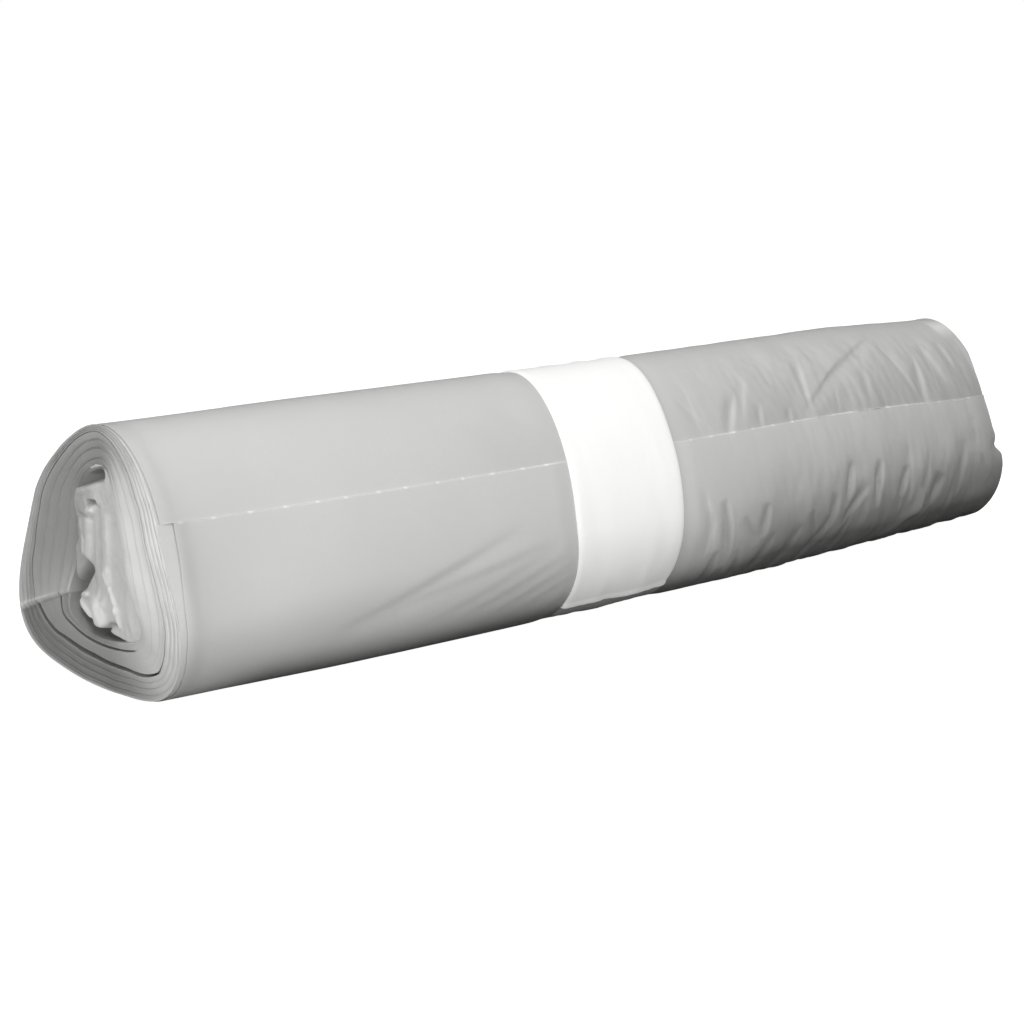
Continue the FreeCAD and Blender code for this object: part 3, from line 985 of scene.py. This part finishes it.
# %% [markdown]
# ## The paper band
# One strip of paper goes once round the roll and is stuck down on itself low on the front. Its rows go
# over its outer face, round one cut edge, back under it and round the other, and its columns start at
# the stuck end. Below that end, next to the floor, it gets painted shadow like the film beside it.

# %% Make the paper band
BAND_COLUMNS = 260
FACE_ROWS = 30
INNER_ROWS = 6
PAPER_DENT = 0.16
PAPER_END_LIFT = 0.35
PAPER_END_WAVE = 1.6
WAVE_COLUMNS = 8
# The paper's least height over the film, also in a dent
PAPER_LEAST = 0.08
# How much painted shadow the paper gets below its stuck end, and the angles between which that sets in
PAPER_FOOT_SHADE = 0.8
PAPER_FOOT = (190.0, 205.0)
# The small gap, in degrees, between the last column and the first
BAND_SEAM = 0.2


def band_place(column, row):
    """A point of the band's skin."""
    angle = BAND_END_ANGLE - (FULL_TURN - BAND_SEAM) * column / (BAND_COLUMNS - 1)
    wound = column / (BAND_COLUMNS - 1)
    outer = row <= FACE_ROWS
    if outer:
        across = 2.0 * row / FACE_ROWS - 1.0
        across = math.copysign(abs(across) ** 0.6, across)
    else:
        across = 1.0 - 2.0 * (row - FACE_ROWS - 1) / INNER_ROWS
    level = roll_place(BAND_X, angle).z
    x = band_edge(across, level) + 0.25 * across * noise.noise(Vector((angle * 0.03, across, 4.0)))
    depth = BAND_SINK
    if outer:
        dent = cloudy((x * 0.10, angle * 0.02, 11.0), 0.9)
        low = smooth((262.0 - angle % FULL_TURN) / 30.0)
        thick = BAND_THICKNESS * (1.0 + wound) * (0.35 + 0.65 * smooth((1.0 - abs(across)) * 18.0))
        depth -= max(thick - PAPER_DENT * (1.0 + 2.5 * low) * dent, PAPER_LEAST)
        if column > BAND_COLUMNS - 3:
            depth -= PAPER_END_LIFT * (1.0 + noise.noise(Vector((x * 0.15, 0.0, 6.0))))
    at_end = smooth((column - BAND_COLUMNS + WAVE_COLUMNS) / 6.0)
    wave = noise.noise(Vector((x * 0.09, 2.0, 8.0))) * PAPER_END_WAVE * at_end
    place = roll_place(x, angle + wave) + inwards(x, angle) * depth
    place.z = max(place.z, 0.0 if outer else BAND_THICKNESS / 2)
    # Painted shadow below the stuck end
    return place, (0.0, 0.0, PAPER_FOOT_SHADE * between(angle, *PAPER_FOOT), 0.0)


band = wrapped("paper_band_skin", BAND_COLUMNS, FACE_ROWS + INNER_ROWS + 2, band_place)

# %% [markdown]
# ## Writing shader maths as plain expressions
# A shader is a graph of nodes. Wrapping a socket in a small class with the usual operators lets the graph
# be written as an expression.

# %% Wrap the shader sockets
BUMP_DISTANCE = 0.0002


class Wire:
    """A value in a shader: arithmetic on it adds Math nodes."""

    def __init__(self, graph, socket):
        self.graph, self.socket = graph, socket

    def maths(self, operation, *values):
        return self.graph.node("ShaderNodeMath", {"operation": operation}, *values)[0]

    def __add__(self, other):
        return self.maths("ADD", self, other)

    __radd__ = __add__

    def __sub__(self, other):
        return self.maths("SUBTRACT", self, other)

    def __rsub__(self, other):
        return self.maths("SUBTRACT", other, self)

    def __mul__(self, other):
        return self.maths("MULTIPLY", self, other)

    def clamped(self):
        return self.maths("MINIMUM", self.maths("MAXIMUM", self, 0.0), 1.0)


class Graph:
    """The nodes of one material."""

    def __init__(self, name):
        self.material = bpy.data.materials.new(name)
        self.material.use_nodes = True
        self.tree = self.material.node_tree
        self.shader = self.tree.nodes["Principled BSDF"]

    def node(self, kind, settings, *values, **named):
        """A node with its settings set first, and then its inputs, in order or by name."""
        made = self.tree.nodes.new(kind)
        for setting, value in settings.items():
            setattr(made, setting, value)
        for key, value in [*enumerate(values), *named.items()]:
            socket = made.inputs[key.replace("_", " ") if isinstance(key, str) else key]
            self.feed(socket, value)
        return [Wire(self, output) for output in made.outputs]

    def feed(self, socket, value):
        """Links a wire to a socket, or sets a plain value on it."""
        if isinstance(value, Wire):
            self.tree.links.new(value.socket, socket)
        else:
            socket.default_value = value

    def mask(self, name):
        """One of the numbers stored with the vertices, the node's third output."""
        return self.node("ShaderNodeAttribute", {"attribute_name": name})[2]

    def place(self):
        """The place on the piece, in metres, the node's fourth output."""
        return self.node("ShaderNodeTexCoord", {})[3]

    def cloud(self, place, grain, detail=3.0):
        """Soft noise between 0 and 1; the higher the three factors, the finer its grain."""
        fine = self.node("ShaderNodeVectorMath", {"operation": "MULTIPLY"}, place, grain)[0]
        return self.node("ShaderNodeTexNoise", {}, Vector=fine, Scale=1.0, Detail=detail, Roughness=0.55)[0]

    def bumped(self, strength, height):
        """The surface's direction with fine bumps."""
        return self.node("ShaderNodeBump", {}, Strength=strength, Distance=BUMP_DISTANCE, Height=height)[0]

    def finish(self, **inputs):
        """Feeds the shader's own inputs by their names, and hands over the material."""
        for key, value in inputs.items():
            self.feed(self.shader.inputs[key.replace("_", " ")], value)
        return self.material

    def mixed(self, factor, first, second):
        """A colour between two colours."""
        made = self.tree.nodes.new("ShaderNodeMix")
        made.data_type = "RGBA"
        for index, value in ((0, factor), (6, first), (7, second)):
            self.feed(made.inputs[index], value)
        return Wire(self, made.outputs[2])


# %% [markdown]
# ## Milky polythene
# Wound up, the film is pale grey with a satin gloss. Where light would come through it, as in the front
# wall's end, it gets painted light, and the free edge gets a painted highlight; towards the floor and deep
# in the ends it gets painted shade.
# Fine lines follow the layers, and subsurface scattering carries the light a few millimetres.

# %% Make the film's material
FILM_GREY = (0.570, 0.570, 0.558, 1.0)
# The colour of painted light and of the film's random paler tone
FILM_PALE_TONE_AND_PAINTED_LIGHT = (0.93, 0.93, 0.92, 1.0)
# The colour of painted shade, of the faint layer lines and of the film's random darker tone
FILM_DARK_TONE_AND_PAINTED_SHADE = (0.16, 0.16, 0.157, 1.0)
FILM_ROUGHNESS = 0.42
LAYER_PITCH = 0.6
BEADS_PER_METRE = 100.0


def film_material():
    """The finish of all the film."""
    graph = Graph("milky_film")
    place = graph.place()
    layer, painted_light, shade, edge = (graph.mask(name) for name in MASKS)
    clouds = graph.cloud(place, (22.0, 22.0, 22.0))
    grain = graph.cloud(place, (900.0, 900.0, 900.0), detail=2.0)
    streaks = graph.cloud(place, (260.0, 90.0, 90.0))
    at_end = (layer * 8.0).clamped()
    wobble = graph.cloud(place, (60.0, 60.0, 60.0))
    lines = layer.maths("SINE", layer * (math.tau / LAYER_PITCH) + wobble * 5.0) * 0.5 + 0.5
    along = graph.node("ShaderNodeSeparateXYZ", {}, place)[0] * BEADS_PER_METRE + wobble * 0.8
    bead = (1.0 - layer.maths("ABSOLUTE", layer.maths("FRACT", along) - 0.5) * 9.0).clamped()
    # Painted light, painted highlights with beads along the free edge, and random tone
    lighter = (painted_light + edge * (0.35 + bead * 0.65) + (clouds - 0.5) * 0.12 + (grain - 0.5) * 0.08).clamped()
    colour = graph.mixed(lighter, FILM_GREY, FILM_PALE_TONE_AND_PAINTED_LIGHT)
    # Painted shade, faint lines along the layers at the ends, and random tone
    darker = (shade * 0.9 + at_end * lines * 0.05 + (0.5 - clouds) * 0.1).clamped()
    return graph.finish(
        Base_Color=graph.mixed(darker, colour, FILM_DARK_TONE_AND_PAINTED_SHADE), Roughness=FILM_ROUGHNESS + (clouds - 0.5) * 0.16,
        Normal=graph.bumped(0.25, grain * 0.25 + streaks * 0.8 + at_end * lines * 0.25),
        Subsurface_Weight=0.25, Subsurface_Radius=(1.0, 1.0, 1.0), Subsurface_Scale=0.004,
        IOR=1.5, Specular_IOR_Level=0.2)


# %% [markdown]
# ## Plain white paper
# The band is uncoated paper: white, matt, with fibres only just visible; below its stuck end it has painted
# shadow.

# %% Make the paper's material
PAPER_WHITE = (0.97, 0.97, 0.96, 1.0)
PAPER_SHADE = (0.91, 0.91, 0.90, 1.0)
# The colour of the paper's painted shadow
PAPER_PAINTED_SHADE = (0.16, 0.16, 0.157, 1.0)


def paper_material():
    """The finish of the band."""
    graph = Graph("white_paper")
    place = graph.place()
    fibres = graph.cloud(place, (700.0, 260.0, 260.0), detail=4.0)
    clouds = graph.cloud(place, (60.0, 60.0, 60.0))
    colour = graph.mixed((fibres * 0.35 + clouds * 0.35 - 0.15).clamped(), PAPER_WHITE, PAPER_SHADE)
    return graph.finish(
        # The shade mask mixes in the painted shadow
        Base_Color=graph.mixed(graph.mask("shade"), colour, PAPER_PAINTED_SHADE), Roughness=0.78 + fibres * 0.12,
        Normal=graph.bumped(0.2, fibres + clouds))


film_finish = film_material()
FILM_PIECES = (left_turns, right_turns, layers, inner_start, crumple)
for piece in FILM_PIECES:
    piece.data.materials.append(film_finish)
band.data.materials.append(paper_material())
print("materials:", [material.name for material in bpy.data.materials])

# %% [markdown]
# ## Tie the pieces to the frame
# Each piece, which has its material from above, rides on the part's one body and replaces its CAD solid.

# %% Tie the pieces to the frame
for piece in FILM_PIECES:
    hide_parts("film_roll")
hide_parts("paper_band")
for piece in (*FILM_PIECES, band):
    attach(piece, "root")

# %% [markdown]
# ## Floor, background and light
# The floor looks white to the camera but returns little light to the object, so the roll's underside stays
# dark; next to the floor the film and paper also get painted shadow. Five soft white lamps and a faint even
# sky light it: the key in front, the strongest one above, one beside the left end, and two weak ones low in
# front.

# %% Build the stage
FLOOR_SIZE = 30.0
FLOOR_BOUNCE = (0.20, 0.20, 0.20, 1.0)
FLOOR_WHITE = (0.45, 0.45, 0.45, 1.0)
FLOOR_LIFT = (0.98, 0.98, 0.98, 1.0)
BLACK = (0.0, 0.0, 0.0, 1.0)
# Two outputs of the light path node
CAMERA_RAY, TRANSMISSION_RAY = 0, 6


def floor_material():
    """White to the camera, darker to bounced light, and it keeps shadows."""
    graph = Graph("white_floor")
    path = graph.node("ShaderNodeLightPath", {})
    seen = (path[CAMERA_RAY] + path[TRANSMISSION_RAY]).clamped()
    return graph.finish(
        Base_Color=graph.mixed(seen, FLOOR_BOUNCE, FLOOR_WHITE), Roughness=1.0, Specular_IOR_Level=0.0,
        Emission_Color=graph.mixed(seen, BLACK, FLOOR_LIFT), Emission_Strength=1.0)


floor_mesh = bmesh.new()
bmesh.ops.create_grid(floor_mesh, x_segments=1, y_segments=1, size=FLOOR_SIZE / 2)
floor = finished("floor", floor_mesh)
floor.data.materials.append(floor_material())

# %% Light it
WORLD_STRENGTH = 0.11
# Place and target in metres, size in metres, power in watts
LAMPS = (
    ("key", (-0.35, -0.85, 0.95), (-0.03, 0.0, 0.03), 0.5, 2.6),
    ("over", (0.0, -0.3, 1.3), (0.0, 0.0, 0.03), 0.8, 10.4),
    ("low", (-0.22, -0.30, 0.05), (-0.08, 0.0, 0.03), 0.1, 0.26),
    ("front", (0.05, -0.34, 0.04), (0.0, 0.0, 0.02), 0.12, 0.21),
    ("left", (-1.0, -0.12, 0.25), (-0.17, 0.0, 0.03), 0.3, 4.1))


def soft_lamp(name, place, target, size, power):
    """A square soft lamp that looks at a point."""
    lamp = bpy.data.lights.new(name, "AREA")
    lamp.energy = power
    lamp.size = size
    holder = bpy.data.objects.new(name, lamp)
    holder.location = place
    holder.rotation_euler = (Vector(target) - Vector(place)).to_track_quat("-Z", "Y").to_euler()
    bpy.context.scene.collection.objects.link(holder)


for name, *values in LAMPS:
    soft_lamp(name, *values)

world = bpy.data.worlds.new("world")
world.use_nodes = True
bpy.context.scene.world = world
sky = world.node_tree
background = sky.nodes["Background"]
path = sky.nodes.new("ShaderNodeLightPath")
strength = sky.nodes.new("ShaderNodeMix")
strength.inputs[2].default_value = WORLD_STRENGTH
strength.inputs[3].default_value = 1.0
sky.links.new(path.outputs["Is Camera Ray"], strength.inputs[0])
sky.links.new(strength.outputs[0], background.inputs["Strength"])
background.inputs["Color"].default_value = (1.0, 1.0, 1.0, 1.0)
